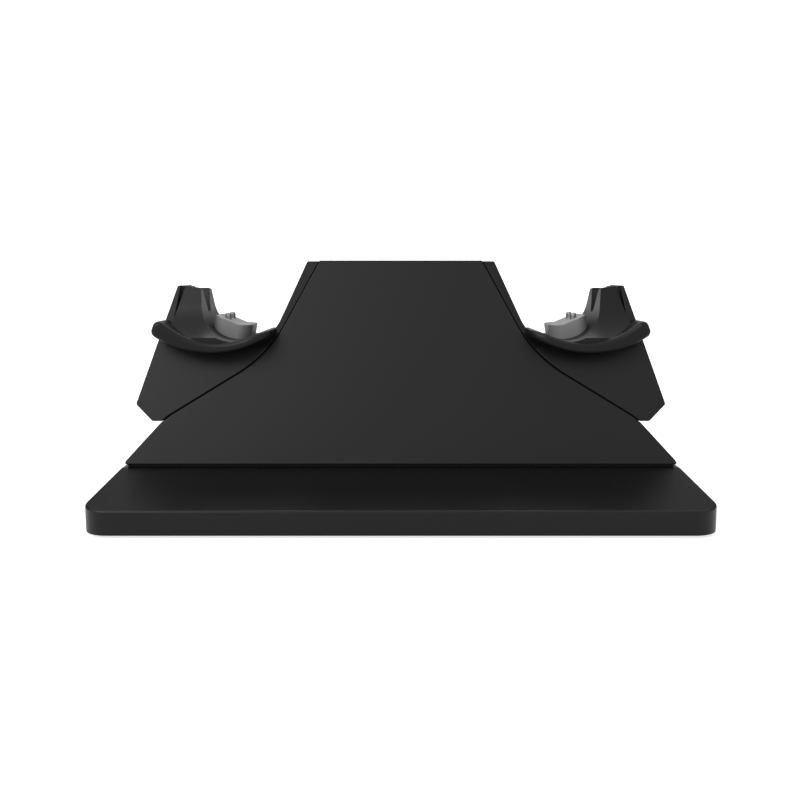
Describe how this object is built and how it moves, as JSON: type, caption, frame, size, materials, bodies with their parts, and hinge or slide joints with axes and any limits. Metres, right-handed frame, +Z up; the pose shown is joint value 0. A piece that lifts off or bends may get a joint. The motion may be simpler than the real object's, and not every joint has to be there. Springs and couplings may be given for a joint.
{
  "type": "controller charging dock",
  "caption": "Twin charging dock for game controllers: leaning central body on a flat base, with a horned saddle and spring contacts on each side.",
  "frame": {"origin": "on the surface the dock stands on, under the middle of its base", "axes": "+Z up, +X to the right along the base's width, +Y to the rear, where the power inlet is"},
  "size_m": [0.205, 0.152, 0.0884],
  "materials": {
    "ballast_steel": "cut sheet",
    "barrel_brass": "turned brass",
    "base_black": "satin moulded plastic",
    "block_grey": "satin moulded plastic",
    "board_green": "glass-fibre board with solder mask",
    "body_black": "fine matt moulded plastic",
    "cradle_black": "satin moulded plastic",
    "foot_rubber": "soft rubber",
    "inlet_steel": "drawn shell",
    "lead_black": "soft insulation",
    "panel_black": "fine matt moulded plastic",
    "pin_nickel": "nickel-plated",
    "screw_steel": "blackened steel",
    "spring_steel": "drawn wire",
    "tongue_black": "moulded plastic"
  },
  "bodies": {
    "dock": {"base_cover": "base_black", "base_plate": "base_black", "rubber_feet": "foot_rubber", "ballast_plate": "ballast_steel", "body_shell": "body_black", "front_panel": "panel_black", "rear_panel": "panel_black", "main_board": "board_green", "power_inlet": "inlet_steel", "inlet_tongue": "tongue_black", "base_screws": "screw_steel", "body_screws": "screw_steel", "cradle_screws": "screw_steel", "contact_screws": "screw_steel", "left_cradle": "cradle_black", "left_contact_block": "block_grey", "left_contact_board": "board_green", "left_lead": "lead_black", "left_front_barrel": "barrel_brass", "left_front_spring": "spring_steel", "left_rear_barrel": "barrel_brass", "left_rear_spring": "spring_steel", "right_cradle": "cradle_black", "right_contact_block": "block_grey", "right_contact_board": "board_green", "right_lead": "lead_black", "right_front_barrel": "barrel_brass", "right_front_spring": "spring_steel", "right_rear_barrel": "barrel_brass", "right_rear_spring": "spring_steel"},
    "left_front_contact": {"left_front_pin": "pin_nickel"},
    "left_rear_contact": {"left_rear_pin": "pin_nickel"},
    "right_front_contact": {"right_front_pin": "pin_nickel"},
    "right_rear_contact": {"right_rear_pin": "pin_nickel"}
  },
  "joints": [
    {"name": "left_front_press", "type": "slide", "parent": "dock", "child": "left_front_contact", "axis": [0, 0, -1], "range_m": [0, 0.0012], "stiffness_N_per_m": 400, "springref_m": -0.0008, "deforming": ["left_front_spring"]},
    {"name": "left_rear_press", "type": "slide", "parent": "dock", "child": "left_rear_contact", "axis": [0, 0, -1], "range_m": [0, 0.0012], "stiffness_N_per_m": 400, "springref_m": -0.0008, "deforming": ["left_rear_spring"]},
    {"name": "right_front_press", "type": "slide", "parent": "dock", "child": "right_front_contact", "axis": [0, 0, -1], "range_m": [0, 0.0012], "stiffness_N_per_m": 400, "springref_m": -0.0008, "deforming": ["right_front_spring"]},
    {"name": "right_rear_press", "type": "slide", "parent": "dock", "child": "right_rear_contact", "axis": [0, 0, -1], "range_m": [0, 0.0012], "stiffness_N_per_m": 400, "springref_m": -0.0008, "deforming": ["right_rear_spring"]}
  ]
}
